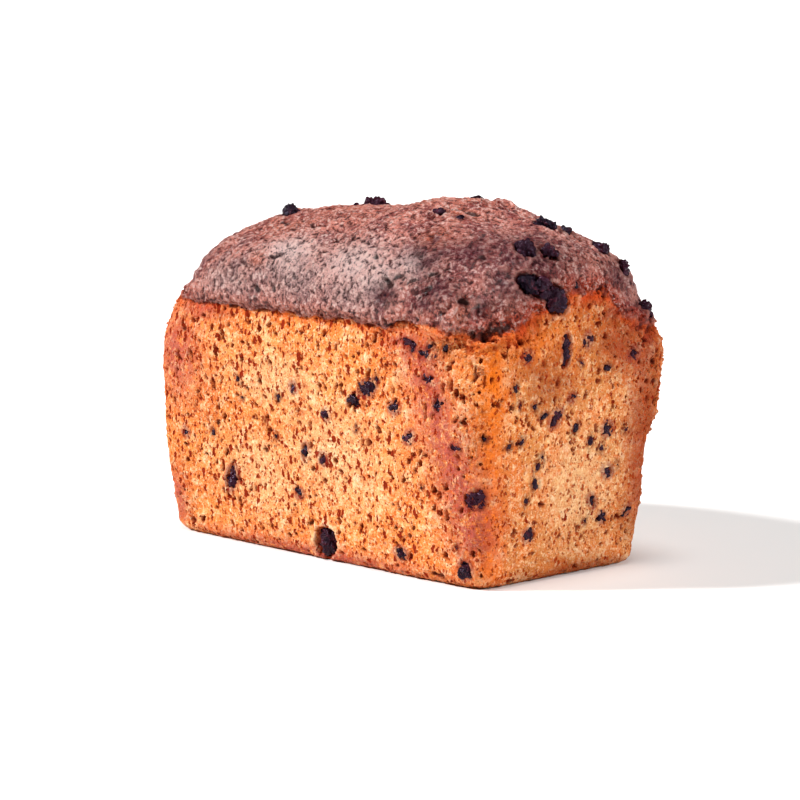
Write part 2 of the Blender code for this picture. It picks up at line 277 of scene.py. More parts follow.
def smooth(low, high, value):
    """0 at low, 1 at high and a soft slope between."""
    share = np.clip((value - low) / (high - low), 0, 1)
    return share * share * (3 - 2 * share)


def bell(value, middle, width):
    """1 at the middle, falling to nothing about two widths away."""
    return np.exp(-(((value - middle) / width) ** 2))


def sway(points, size, seed):
    """A cheap wavering of about -1 to 1 with waves of this size in mm: three crossing sines."""
    draw = np.random.default_rng(seed)
    total = 0
    for _ in range(3):
        heading = draw.normal(size=3)
        heading *= 2 * math.pi / (size * np.linalg.norm(heading))
        total = total + np.sin(points @ heading + draw.uniform(0, 2 * math.pi))
    return total / 2


def patches(points, spots):
    """Soft patches at (x, y, z, width) or (x, y, z, three widths), the strongest kept."""
    total = np.zeros(len(points))
    for spot in spots:
        widths = np.array(spot[3:] if len(spot) == 6 else spot[3:] * 3)
        total = np.maximum(total, np.exp(-(((points - spot[:3]) / widths) ** 2).sum(1)))
    return total


def along(points, route):
    """The distance in mm from each point to a route of straight stretches."""
    nearest = np.full(len(points), 1e9)
    for start, end in zip(route, route[1:] or route):
        start, way = np.array(start, float), np.subtract(end, start).astype(float)
        share = np.clip((points - start) @ way / max(way @ way, 1e-9), 0, 1)
        nearest = np.minimum(nearest, np.linalg.norm(points - start - share[:, None] * way, axis=1))
    return nearest


skin = coordinates(bread.data) / MM
facing = coordinates(bread.data, "normal")
print("size of the skin in mm:", np.ptp(skin, axis=0).round(1))

# %% [markdown]
# The tin pressed the raisins along its walls flat, and the dough closed over their rims. So the skin is
# first levelled over each raisin, and each point gets its distance to the nearest raisin's outline,
# negative inside it. The relief tree later opens the skin inside that outline, raggedly, and the
# material stains it round about with juice. A few raisins differ: one lies free at the base, two on the
# near end are baked into one clump, and one is nearly covered.

# %% Where raisins lie under the skin
REACH = 12.0
FAR = 20.0
FREE_AT = [(6, -50, 12)]
FUSED_AT = [(101, -21, 127), (106, -14, 121)]
COVERED_AT = [(96, -49, 46)]
BARE_TOP = 0.9
BARE_COVERED = -2.6
BARE_FUSED = 1.2
BARE_RANGE = (-1.8, -0.2)
FACES_UP = 0.35
PROUD = 0.35
PRESSED = 0.3
TOP_RAISE = 1.1

raisin_mesh = {name: merged([name]) for name in RAISIN_NODES}
raisin_middle = {
    name: np.mean([vert.co for vert in body.verts], 0) / MM for name, body in raisin_mesh.items()
}


def raisins_at(places):
    """The names of the raisins nearest to these places."""
    return {min(RAISIN_NODES, key=lambda name: math.dist(raisin_middle[name], place)) for place in places}


free, fused, covered = (raisins_at(places) for places in (FREE_AT, FUSED_AT, COVERED_AT))
print("raisins lying free:", free, "fused:", fused, "and nearly covered:", covered)
draw = np.random.default_rng(8)
rim = np.full(len(skin), FAR)
stain_rim = np.full(len(skin), FAR)
for name in RAISIN_NODES:
    body = raisin_mesh[name]
    corners = np.array([vert.co for vert in body.verts]) / MM
    middle = corners.mean(0)
    near = np.linalg.norm(skin - middle, axis=1) < REACH
    offset = skin[near] - middle
    weight = np.exp(-((np.linalg.norm(offset, axis=1) / 5) ** 2))
    outward = (facing[near] * weight[:, None]).sum(0)
    outward /= np.linalg.norm(outward)
    side = np.cross(outward, (0, 0, 1) if abs(outward[2]) < 0.9 else (1, 0, 0))
    side /= np.linalg.norm(side)
    axes = np.array([side, np.cross(outward, side)])

    # The raisin's outline, seen along the outward direction, is an ellipse fitted to its corners.
    spread = (corners - middle) @ axes.T
    whiten = np.linalg.inv(np.linalg.cholesky(np.cov(spread.T) * 3))
    seen = offset @ axes.T
    ratio = np.linalg.norm(seen @ whiten.T, axis=1)
    outside = (ratio - 1) * np.linalg.norm(seen, axis=1) / np.maximum(ratio, 1e-6)
    outside = np.where(facing[near] @ outward > 0, outside, FAR)
    height = offset @ outward
    ring = (outside > 0.8) & (outside < 3.0)
    level = np.median(height[ring]) if ring.any() else 0.0
    flatten = smooth(2.2, 0.2, outside)
    skin[near] += ((level - height) * flatten)[:, None] * outward

    on_top = outward[2] > FACES_UP or name in free | fused
    bare = draw.uniform(*BARE_RANGE)
    if on_top:
        bare = BARE_FUSED if name in fused else BARE_TOP
    if name in covered:
        bare = BARE_COVERED
    rim[near] = np.minimum(rim[near], outside - bare)
    stain_rim[near] = np.minimum(stain_rim[near], outside)

    # Along the tin's walls what stood proud of the skin is pressed back.
    proud = (corners - middle) @ outward - level - PROUD
    if not on_top:
        corners -= (np.maximum(proud, 0) * (1 - PRESSED))[:, None] * outward
    elif outward[2] > FACES_UP:
        corners += TOP_RAISE * outward
    for vert, place in zip(body.verts, corners):
        vert.co = Vector(place * MM)
print("points inside a raisin's outline:", int((stain_rim < 0).sum()))

# %% [markdown]
# Where the oven browned the bread, where the tin pressed it and where it tore are soft fields over the
# surface. They are stored on the mesh as attributes, one number for each point, and both the relief
# and the material read them.

# %% The crust's edge and the torn ends
TIN_HEIGHT = 107.5
END_LINE_LIFT = 13.0
END_LINE_MIDDLE = 3.0
END_LINE_REACH = 26.0
LINE_BENDS = [
    (47, -50, 8, 40, -1.2), (70, -50, 13, 40, 2.8), (93, -50, 7, 16, -1.5), (99, 46, 14, 14, -4.0),
]
END_SHARPNESS = 12
HALF_LENGTH = 107
HALF_WIDTH = 55
RUGGED_CRUST = [
    (66, -52, 124, 26, 9, 11), (88, -48, 120, 12, 12, 9), (14, -42, 140, 26, 10, 7),
    (56, 12, 155, 20, 12, 6),
]
FRAYED_EDGE = [(108, 50, 104), (109, 50, 70), (106, 50, 30)]
FRAYED_SHARE = 0.55
LINE_SHARE = 0.36
RUGGED_SHARE = 0.34

x, y, z = skin.T
end_share = (np.abs(x) / HALF_LENGTH) ** END_SHARPNESS
end_share = end_share / (end_share + (np.abs(y) / HALF_WIDTH) ** END_SHARPNESS)
arch = np.exp(-(((y - END_LINE_MIDDLE) / END_LINE_REACH) ** 4))
tin_line = TIN_HEIGHT + END_LINE_LIFT * end_share * arch
for at_x, at_y, wide_x, wide_y, rise in LINE_BENDS:
    tin_line += rise * bell(x, at_x, wide_x) * bell(y, at_y, wide_y)
near_corner = smooth(66, 92, x) * smooth(-30, -50, y)
over_line = z - tin_line + 0.7 * sway(skin, 14, 1)
torn_share = np.maximum(end_share, near_corner)
torn = torn_share * smooth(-15, -4, over_line) * smooth(9, 1, over_line)
torn = np.maximum(torn, FRAYED_SHARE * bell(along(skin, FRAYED_EDGE), 0, 7))
torn = np.maximum(torn, LINE_SHARE * bell(over_line, 0.5, 2.6))
torn = np.maximum(torn, RUGGED_SHARE * patches(skin, RUGGED_CRUST))
print("points above the crust's edge:", int((over_line > 0).sum()))

# %% [markdown]
# The cracks, holes and raised bits that give this loaf its face are few, so they are listed one by one, each
# as a short route with a width and a depth in millimetres. A negative depth raises the skin.

# %% Cracks, holes, folds and flakes
CRACKS = [
    (1.4, 1.7, [(-29, -52, 130), (-24, -52, 132), (-19, -52, 134)]),
    (1.3, 1.0, [(-62, -16, 142), (-50, -22, 143)]),
    (1.2, 1.2, [(-38, -31, 142), (-27, -36, 142)]),
    (1.3, 1.3, [(-26, -30, 145), (-16, -36, 143)]),
    (1.5, 1.9, [(1, -41, 140), (7, -42, 140)]),
    (1.0, 0.9, [(13, -41, 142), (22, -44, 141), (30, -47, 140)]),
    (1.2, 1.6, [(60, -54, 126), (66, -51, 131)]),
    (1.2, 1.5, [(69, -54, 121), (74, -52, 128)]),
    (1.2, 1.4, [(71, -50, 130), (79, -46, 134)]),
    (1.1, 1.2, [(53, -53, 127), (57, -52, 131)]),
    (1.1, 1.2, [(64, -54, 119), (67, -53, 125)]),
    (1.5, 1.5, [(43, -13, 156), (50, -9, 155), (57, -9, 153)]),
    (1.8, 2.2, [(46, 10, 156), (56, 12, 155), (66, 11, 152)]),
    (2.4, -2.0, [(44, 16, 155), (56, 18, 154), (66, 17, 151)]),
    (1.6, 2.4, [(98, -46, 105), (99, -42, 111)]),
    (2.2, 2.0, [(95, -49, 106), (100, -43, 107), (103, -36, 110)]),
    (1.6, 1.8, [(54, -57, 107), (59, -57, 108)]),
    (1.3, -2.2, [(83, -55, 116), (84, -54, 122)]),
    (3.0, -1.2, [(92, -47, 113), (95, -42, 121)]),
    (1.0, 1.1, [(-11, -57, 95), (-8, -57, 90), (-9, -57, 85), (-10, -57, 80)]),
    (1.1, 1.4, [(-61, -55, 62), (-60, -55, 56), (-63, -55, 53)]),
    (3.0, -1.1, [(-69, -56, 59), (-65, -56, 57)]),
    (1.8, 2.0, [(72, -49, 3), (76, -49, 4)]),
    (2.0, -1.3, [(104, 36, 112), (106, 44, 109), (100, 52, 110)]),
    (2.0, 2.6, [(106, 38, 104), (106, 46, 103), (100, 54, 104)]),
    (1.2, 1.3, [(-107, -30, 96), (-106, -24, 102), (-107, -12, 104)]),
    (1.2, 1.3, [(-40, 54, 92), (-38, 54, 80)]),
    (1.1, 1.1, [(30, 53, 60), (36, 53, 48)]),
    (1.5, 1.7, [(-70, 50, 124), (-58, 51, 126)]),
    (1.4, 1.4, [(20, 52, 128), (34, 50, 131)]),
    (2.0, 1.5, [(-60, 14, 146), (-46, 20, 146)]),
    (1.6, 1.4, [(-84, 0, 134), (-80, 14, 134)]),
]
HOLES = [
    (-31, -57, 117, 1.9, 1.8), (-20, -57, 117, 1.4, 1.2), (50, -55, 125, 2.6, 2.8), (39, -51, 136, 1.7, 1.6),
    (10, -43, 140, 1.2, 1.2), (-11, -19, 150, 1.6, 1.4), (89, -48, 120, 1.6, 1.6), (86, -35, 138, 1.5, 1.4),
    (61, -45, 138, 1.4, 1.4), (106, 15, 122, 2.0, 2.0), (-40, -58, 116, 1.3, 1.0), (57, -53, 128, 1.4, 1.4),
    (110, 46, 89, 2.2, 2.4), (109, 47, 81, 2.0, 2.2), (108, 50, 72, 2.2, 2.4), (-58, -57, 92, 2.0, 1.8),
    (-84, -54, 95, 2.0, 1.9), (-32, -53, 45, 2.0, 1.9), (-4, -50, 16, 1.8, 1.6), (56, -56, 101, 1.6, 1.6),
    (-60, 54, 100, 2.0, 1.8), (12, 54, 84, 1.8, 1.7), (70, 52, 30, 2.0, 1.8), (-20, 53, 24, 1.7, 1.5),
    (-108, 20, 84, 1.9, 1.8), (-105, -14, 40, 1.8, 1.6), (10, 20, 154, 1.7, 1.5), (-30, 34, 148, 1.6, 1.5),
]
wavering = skin + 0.8 * np.stack([sway(skin, 5, seed) for seed in (21, 22, 23)], axis=1)
carved = np.zeros(len(skin))
cut = np.zeros(len(skin))
for width, depth, route in CRACKS + [(radius, depth, [place]) for *place, radius, depth in HOLES]:
    share = bell(along(wavering, route), 0, width)
    carved += depth * share
    # Where a crack or hole is cut in, the material paints shade into it.
    if depth > 0:
        cut = np.maximum(cut, share)

# The crust's lip hangs over the tin's line along the sides, with a thin, broken crease under it that is
# carved in and darkened with painted shadow.
LIP_HEIGHT = 4.2
LIP_SWELL = 0.3
CREASE_CUT = 1.1
CREASE_SHADE = 0.75
DENTED = [(50, -9, 154, 12, 7, 6), (66, -52, 126, 9, 5, 7)]
DENT_CUT = 1.3
along_sides = 1 - torn_share
crease = bell(over_line, -0.4, 1.1) * along_sides * smooth(-0.9, 0.6, sway(skin, 9, 5))
carved += CREASE_CUT * crease
cut = np.maximum(cut, CREASE_SHADE * crease)
carved -= LIP_SWELL * bell(over_line, LIP_HEIGHT, 3.0) * along_sides * (1 + 0.5 * sway(skin, 17, 6))
carved += DENT_CUT * patches(skin, DENTED)
print("cracks and holes:", len(CRACKS) + len(HOLES), "deepest cut in mm:", carved.max().round(1))

# %% [markdown]
# Heat leaves its own map: grey bloom low on the dome, red-brown where the sugar burned, bright orange where
# the tin's corner scraped the skin. A painted highlight lies on the dome's near shoulder, and the burned
# patches spread over the right of the crust as painted shade. Most of these are soft spots, each a place
# with one width or three, and some follow a route or the crust's edge.

# %% Fields of colour
NEAR_EDGE = [(105, -45, 100), (105, -46, 80), (103, -46, 50), (100, -44, 10)]
RED_BAND = [(68, -54, 96), (76, -54, 79), (85, -54, 60), (91, -52, 43), (96, -50, 24)]
END_BAND = [(105, 30, 98), (106, 42, 84), (104, 44, 50), (101, 46, 28)]
SPOTS = {
    "juice": [(108, 44, 97, 6, 8, 9), (105, 24, 111, 6, 9, 4), (104, 38, 104, 6, 8, 5)],
    "reddened": [
        (-90, -52, 84, 23, 20, 24), (-96, -46, 16, 9, 30, 16), (-74, -53, 106, 24, 12, 8),
        (58, -55, 102, 14, 9, 6), (0, -50, 2, 90, 20, 5), (-104, 30, 88, 14, 20, 22),
        (60, 52, 84, 30, 12, 18), (-50, 52, 14, 40, 12, 12),
    ],
    "orange": [(102, -30, 104, 9, 24, 10), (-104, -44, 60, 8, 8, 50)],
    "pale": [
        (103, 6, 40, 14, 20, 26), (14, -54, 48, 34, 12, 22), (-34, -54, 34, 26, 12, 16),
        (-20, -54, 78, 26, 12, 12), (-104, 0, 52, 14, 30, 30), (0, 52, 56, 60, 12, 24),
    ],
    "dark_bake": [
        (105, 26, 98, 12, 26, 14), (105, 46, 60, 16, 10, 60), (106, -16, 88, 12, 20, 14),
        (100, 10, 2, 20, 44, 5), (-107, 10, 98, 12, 40, 12), (40, 52, 100, 50, 10, 8),
    ],
    "bloom": [
        (-50, -55, 120, 28, 14, 10), (-8, -56, 122, 30, 14, 10), (28, -56, 118, 16, 10, 8),
        (-60, 52, 122, 50, 14, 12), (40, 50, 122, 50, 14, 12), (-96, 0, 118, 14, 40, 10),
    ],
    # Painted highlight: pinkish-white patches where the key light's reflection lies on the dome's near
    # shoulder.
    "sheen": [
        (28, -50, 132, 24, 14, 10), (44, -53, 127, 12, 12, 10), (-18, -50, 134, 20, 12, 8),
        (58, -48, 134, 12, 12, 8),
    ],
    "ruddy": [
        (-44, -26, 142, 26, 14, 7), (-20, -12, 149, 30, 16, 6), (52, -14, 153, 12, 10, 6),
        (60, -36, 144, 9, 8, 6), (90, -52, 114, 5, 6, 8), (102, -32, 112, 9, 12, 6),
        (-40, 28, 146, 46, 20, 8), (20, 0, 155, 30, 16, 5), (-34, -53, 130, 6, 8, 4),
    ],
    # Burned dark maroon patches, some of them spread broadly over the right of the crust as painted shade.
    "scorched": [
        (72, -55, 118, 9, 8, 5), (95, -44, 117, 6, 8, 9), (99, -24, 124, 12, 14, 7),
        (105, 42, 108, 9, 14, 7), (80, -32, 138, 16, 16, 11), (50, -56, 120, 9, 8, 7),
        (66, -46, 134, 8, 8, 7), (90, -16, 136, 22, 26, 14), (64, -40, 140, 16, 14, 12),
        (97, -30, 126, 12, 16, 11), (78, -50, 124, 13, 10, 10), (104, 30, 126, 10, 14, 8),
        (-98, 10, 122, 12, 30, 8), (30, 50, 134, 40, 12, 10),
    ],
    "raw_red": [
        (105, 12, 121, 9, 16, 6), (103, -12, 117, 8, 12, 5), (101, -30, 108, 8, 10, 5),
        (-105, 4, 121, 8, 26, 5),
    ],
}
FIELDS = {
    "over_line": over_line, "torn_share": torn_share, "torn": torn, "rim": rim, "carved": carved,
    "cut": cut, "slits": smooth(45, 78, z) * (1 - end_share),
}
FIELDS |= {label: patches(skin, places) for label, places in SPOTS.items()}
soaked = np.clip(1 - (stain_rim + 0.8) / 3.2, 0, 1)
red_strips = np.maximum(bell(along(skin, RED_BAND), 0, 15), 0.7 * bell(along(skin, END_BAND), 0, 10))
over_edge = 0.65 * bell(over_line, 1.8, 2.2) * along_sides
FIELDS["juice"] = np.maximum(soaked, 0.8 * FIELDS["juice"])
FIELDS["reddened"] = np.maximum(FIELDS["reddened"], red_strips)
FIELDS["orange"] = np.maximum(FIELDS["orange"], bell(along(skin, NEAR_EDGE), 0, 6.5))
FIELDS["scorched"] = np.maximum(FIELDS["scorched"], over_edge)
FIELDS["ruddy"] += 0.6 * bell(over_line, 2.5, 3.0) * along_sides
FIELDS["raw_red"] += 0.95 * bell(over_line, 2.0, 5.0) * end_share
for label, values in FIELDS.items():
    layer = bread.data.attributes.new(label, "FLOAT", "POINT")
    layer.data.foreach_set("value", np.ascontiguousarray(values, dtype=np.float32))
bread.data.vertices.foreach_set("co", (skin * MM).astype(np.float32).ravel())
bread.data.update()
print("fields:", ", ".join(FIELDS))

# %% [markdown]
# Raisin skin is thin, dark and waxy, with a dry bloom in the folds. It needs a near-black purple, a low
# but uneven roughness so that the folds catch small lights, and a little variation from one to the next.


# %% The raisins' material
SKIN_GRAIN = 1.2
GRAIN_DEPTH = 0.4
GRAPE_SHINE = 0.24


def dried_grape_skin():
    """Dried grape skin: near-black purple with glossy folds and a dusty bloom."""
    material = bpy.data.materials.new("dried_grape_skin")
    material.use_nodes = True
    tree = material.node_tree
    shader = tree.nodes["Principled BSDF"]
    place = millimetres(tree, node(tree, "ShaderNodeTexCoord").outputs["Object"])
    tone = node(tree, "ShaderNodeAttribute", attribute_name="tone").outputs["Fac"]
    base = {"Factor": tone, "A": linear("#08040B"), "B": linear("#300C18")}
    base = node(tree, "ShaderNodeMix", base, data_type="RGBA")
    dust = blotches(tree, place, 1.1, 0.54, 0.7, 3.0, rough=0.7)
    red = blotches(tree, place, 2.6, 0.52, 0.7, 7.0)
    color = painted(tree, base, [("#5A1E28", 0.6, red), ("#2C2040", 0.2, dust)])
    grain = {"Vector": place, "Scale": SKIN_GRAIN, "Detail": 4.0, "Roughness": 0.65}
    grain = node(tree, "ShaderNodeTexNoise", grain)
    bump = {"Strength": 1.0, "Distance": GRAIN_DEPTH * MM, "Height": grain.outputs[0]}
    rough = node(tree, "ShaderNodeMapRange", {"Value": grain.outputs[0], "To Min": 0.02, "To Max": 0.4})
    tree.links.new(color, shader.inputs["Base Color"])
    tree.links.new(rough.outputs[0], shader.inputs["Roughness"])
    tree.links.new(node(tree, "ShaderNodeBump", bump).outputs[0], shader.inputs["Normal"])
    shader.inputs["IOR"].default_value = 1.48
    shader.inputs["Specular IOR Level"].default_value = GRAPE_SHINE
    shader.inputs["Specular Tint"].default_value = linear("#CCB8E4")
    return material


raisin_skin = dried_grape_skin()
print("material:", raisin_skin.name)

# %% [markdown]
# A raisin is a dried grape: a closed bag of skin that has lost its filling, so it is lumpy, with sharp
# folds between plump lobes. The pressed bodies get an even net of their own, then a tree dents them
# with large noise and cuts folds along the borders of cell noise. One tree serves all of them.

# %% Wrinkled raisins
RAISIN_MESH = 0.42 * MM
DENT_DEPTH = 3.6
FOLD_DEPTH = 0.9
FOLD_SPACING = 3.3
DENT_SCALE = 0.26
DENT_MIDDLE = 0.42
FOLD_BEND_SCALE = 0.3
FOLD_BEND = 5.0

gathered = bmesh.new()
for body in raisin_mesh.values():
    single = bpy.data.meshes.new("single")
    body.to_mesh(single)
    gathered.from_mesh(single)
raisins = new_object("raisins", bpy.data.meshes.new("raisins"))
gathered.to_mesh(raisins.data)
even_net(raisins, RAISIN_MESH, 5)


def wrinkled(tree, given, shape):
    """Dents and folds pressed into dried fruit, with a tone for each one."""
    place = millimetres(tree, node(tree, "GeometryNodeInputPosition"))
    dents = {"Vector": place, "Scale": DENT_SCALE, "Detail": 1.0, "Roughness": 0.4}
    dents = node(tree, "ShaderNodeTexNoise", dents)
    dents = node(tree, "ShaderNodeMath", {0: dents.outputs[0], 1: DENT_MIDDLE}, operation="SUBTRACT")
    warp = node(tree, "ShaderNodeTexNoise", {"Vector": place, "Scale": FOLD_BEND_SCALE, "Detail": 0.5})
    warp = {0: warp.outputs["Color"], "Scale": FOLD_BEND}
    warp = node(tree, "ShaderNodeVectorMath", warp, operation="SCALE")
    bent = node(tree, "ShaderNodeVectorMath", {0: place, 1: warp}, operation="ADD")
    tight = node(tree, "ShaderNodeMath", {0: 1.0, 1: given.outputs["Fold spacing"]}, operation="DIVIDE")
    folds = {"Vector": bent, "Scale": tight}
    folds = node(tree, "ShaderNodeTexVoronoi", folds, feature="DISTANCE_TO_EDGE")
    lobes = {"Value": folds, "From Min": 0.0, "From Max": 0.3, "To Min": -1.0, "To Max": 0.35}
    lobes = node(tree, "ShaderNodeMapRange", lobes, interpolation_type="SMOOTHSTEP")
    lobes = node(tree, "ShaderNodeMath", {0: lobes, 1: given.outputs["Fold depth"]}, operation="MULTIPLY")
    height = {0: dents, 1: given.outputs["Dent depth"], 2: lobes}
    height = node(tree, "ShaderNodeMath", height, operation="MULTIPLY_ADD")
    moved = pushed_out(tree, shape, height)
    island = node(tree, "GeometryNodeInputMeshIsland")
    tone = node(tree, "FunctionNodeRandomValue", {"ID": island, "Seed": 4})
    store = {"Geometry": moved, "Name": "tone", "Value": tone}
    return node(tree, "GeometryNodeStoreNamedAttribute", store, domain="POINT")


WRINKLES = {"Dent depth": DENT_DEPTH, "Fold depth": FOLD_DEPTH, "Fold spacing": FOLD_SPACING}
tree, given = start_tree("raisin_wrinkles", WRINKLES)
finish_tree(tree, wrinkled(tree, given, given.outputs["Geometry"]), raisin_skin)
grow(raisins, tree, WRINKLES)
print("triangles in the raisins:", triangles(raisins))

# %% [markdown]
# Between the whole raisins the surface shows small bits: torn corners of raisins that are otherwise inside.
# Some are listed, a few of them as the filling of the clump on the near end, and the rest are strewn by
# chance on the mesh points, fewer on the crust. Each seat is a point with a direction and a size, and a tree
# sets a small lumpy body on it.

# %% Small bits of raisin
BIT_SEATS = [
    (-65, -56, 49), (69, -54, 41), (79, -55, 97), (87, -51, 17), (100, -50, 92), (107, -17, 71),
    (106, 2, 64), (105, -30, 62), (105, 19, 54), (104, -19, 50), (104, -17, 53), (103, -20, 43),
    (106, 21, 88), (101, -48, 64), (56, -18, 151), (84, -54, 101), (76, -55, 101), (66, -55, 99),
    (105, 4, 92), (104, 30, 46), (105, -22, 76), (104, 12, 58), (107, 34, 60), (105, -34, 84),
    (-20, -56, 70), (-46, -55, 76), (30, -54, 62), (44, -54, 84),
]
CLUMP_SEATS = [
    (102.6, -20, 126.5), (103.2, -18.6, 124.6), (104, -17.4, 125.4), (104.4, -16.4, 122.8),
    (103, -17, 127), (105, -18.6, 122.2),
]
CLUMP_BIT = 2.3
CLUMP_LIFT = 0.9
BIT_LIFT = -0.35
STREWN_BITS = 14
BIT_SIZE = (0.6, 1.3)
HAND_BIT_SIZE = (0.6, 1.9)

draw = np.random.default_rng(31)
picks = [int(np.argmin(((skin - seat) ** 2).sum(1))) for seat in BIT_SEATS + CLUMP_SEATS]
chance = np.where(over_line > 0, 0.25, 1.0) * (z > 6) * (stain_rim > 5)
strewn = draw.choice(len(skin), STREWN_BITS, replace=False, p=chance / chance.sum())
seats = np.array(picks + [int(pick) for pick in strewn])
sizes = np.concatenate([
    draw.uniform(*HAND_BIT_SIZE, len(BIT_SEATS)),
    [CLUMP_BIT] * len(CLUMP_SEATS),
    draw.uniform(*BIT_SIZE, STREWN_BITS),
])
lift = np.full(len(seats), BIT_LIFT)
lift[len(BIT_SEATS) : len(picks)] = CLUMP_LIFT
raisin_bits = new_object("raisin_bits", bpy.data.meshes.new("raisin_bits"))
lifted = (skin[seats] + lift[:, None] * facing[seats]) * MM
raisin_bits.data.from_pydata([tuple(point) for point in lifted], [], [])
for label, kind, values in (("heading", "FLOAT_VECTOR", facing[seats]), ("size", "FLOAT", sizes)):
    layer = raisin_bits.data.attributes.new(label, kind, "POINT")
    target = "vector" if kind == "FLOAT_VECTOR" else "value"
    layer.data.foreach_set(target, values.astype(np.float32).ravel())

BITS = {"Dent depth": 0.8, "Fold depth": 0.35, "Fold spacing": 1.5}
tree, given = start_tree("raisin_bits", BITS)
heading = node(tree, "GeometryNodeInputNamedAttribute", {"Name": "heading"}, data_type="FLOAT_VECTOR")
size = node(tree, "GeometryNodeInputNamedAttribute", {"Name": "size"}, data_type="FLOAT")
upright = node(tree, "FunctionNodeAlignRotationToVector", {"Vector": heading}, axis="Z")
turn = {"Min": (0, 0, 0), "Max": (0, 0, math.tau), "Seed": 5}
turn = node(tree, "FunctionNodeRandomValue", turn, data_type="FLOAT_VECTOR")
turned = node(tree, "FunctionNodeRotateRotation", {0: upright, 1: turn}, rotation_space="LOCAL")
stretch = {"Min": (0.7, 0.9, 0.5), "Max": (1.1, 1.7, 0.8), "Seed": 6}
stretch = node(tree, "FunctionNodeRandomValue", stretch, data_type="FLOAT_VECTOR")
full = node(tree, "ShaderNodeVectorMath", {0: stretch, "Scale": size}, operation="SCALE")
balls = balls_on(tree, given.outputs["Geometry"], turned, full, 3)
finish_tree(tree, wrinkled(tree, given, balls), raisin_skin)
grow(raisin_bits, tree, BITS)
print("bits of raisin:", len(seats))

# %% [markdown]
# Baked rye dough has a skin full of holes, and most of them are finer than the mesh. So the material
# draws them: slits that the rising dough drew out upwards, round pores and fine ones. A rough noise
# frays their rims, and a broad one crowds them here and thins them out there. The real grain is about
# half a millimetre, and it is drawn coarser, or it wouldn't show.

# %% Pores, grain and specks finer than the mesh
SLIT_PORE = 3.3
SMALL_PORE = 2.9
FINE_PORE = 1.6
RIM_SCALE = 1.1
CROWD_SCALE = 0.09
RAGGEDNESS = 0.5
FILLED_ENDS = -0.13
CRUMB_GRAIN = 0.85
CRUST_GRAIN = 2.3
CALM_SPECKS = 0.22


def fine_masks(tree, place, field):
    """Masks of the pores, the grain, the specks (painted glints and painted shade) and the relief's painted
    shade and light, with the grain's and the specks' noises.
    """
    slit = bubbles(tree, place, SLIT_PORE, 0.25, 0.27, squash=0.34, wander=0.8)
    slit = node(tree, "ShaderNodeMath", {0: slit, 1: field["slits"]}, operation="ADD")
    slit = node(tree, "ShaderNodeMath", {0: slit, 1: 1.0}, operation="SUBTRACT")
    depth = bubbles(tree, place, SMALL_PORE, 0.35, 0.4, squash=0.65, wander=1.3)
    depth = node(tree, "ShaderNodeMath", {0: depth, 1: slit}, operation="MAXIMUM")
    ragged = {"Vector": place, "Scale": RIM_SCALE, "Detail": 3.0, "Roughness": 0.7}
    ragged = node(tree, "ShaderNodeTexNoise", ragged)
    crowd = node(tree, "ShaderNodeTexNoise", {"Vector": place, "Scale": CROWD_SCALE, "Detail": 2.0})
    ragged = node(tree, "ShaderNodeMath", {0: ragged, 1: crowd}, operation="ADD")
    ragged = node(tree, "ShaderNodeMath", {0: ragged, 1: 1.0}, operation="SUBTRACT")
    depth = node(tree, "ShaderNodeMath", {0: ragged, 1: RAGGEDNESS, 2: depth}, operation="MULTIPLY_ADD")
    depth = {0: field["torn_share"], 1: FILLED_ENDS, 2: depth}
    depth = node(tree, "ShaderNodeMath", depth, operation="MULTIPLY_ADD")
    fine = bubbles(tree, place, FINE_PORE, 0.4, 0.46, squash=0.75)
    grain = {"Vector": place, "Scale": 1 / CRUMB_GRAIN, "Detail": 2.0, "Roughness": 0.6}
    grain = node(tree, "ShaderNodeTexNoise", grain)
    speck = {"Vector": place, "Scale": 1 / CRUST_GRAIN, "Detail": 5.0, "Roughness": 0.8}
    speck = node(tree, "ShaderNodeTexNoise", speck)
    painted_crack_shade = {0: grain, 1: 0.5, 2: field["cut"]}
    painted_crack_shade = node(tree, "ShaderNodeMath", painted_crack_shade, operation="MULTIPLY_ADD")

    # Each mask rises from 0 at the first value to 1 at the second.
    rises = {
        "shade": (depth, -0.14, 0.03, "SMOOTHSTEP"),
        "small": (depth, 0.0, 0.07, "SMOOTHSTEP"),
        "fine": (fine, 0.0, 0.1, "SMOOTHSTEP"),
        "bright": (grain, 0.56, 0.7, "LINEAR"),
        "dark": (grain, 0.44, 0.3, "LINEAR"),
        # Painted shade in the cracks, holes and crease, broken up by the grain.
        "painted_crack_shade": (painted_crack_shade, 0.6, 0.9, "LINEAR"),
        # The crust's light specks are painted glints, and its dark specks painted shade in tiny pits.
        "painted_glint": (speck, 0.53, 0.59, "SMOOTHSTEP"),
        "painted_speck_shade": (speck, 0.475, 0.425, "SMOOTHSTEP"),
        # low paints shade into the places that the relief sank, and high paints light onto those it raised.
        "low": (field["relief"], -0.15, -0.75, "LINEAR"),
        "high": (field["relief"], 0.1, 0.7, "LINEAR"),
    }
    masks = {"grain": grain, "speck": speck}
    for name, (value, start, full, kind) in rises.items():
        edges = {"Value": value, "From Min": start, "From Max": full}
        masks[name] = node(tree, "ShaderNodeMapRange", edges, interpolation_type=kind)
    # Fewer painted glints where the crust is burned or shaded.
    calm = {"Value": field["scorched"], "To Min": 1.0, "To Max": CALM_SPECKS}
    masks["calm"] = node(tree, "ShaderNodeMapRange", calm)
    return masks


print("pores in mm apart:", SLIT_PORE, SMALL_PORE, FINE_PORE)
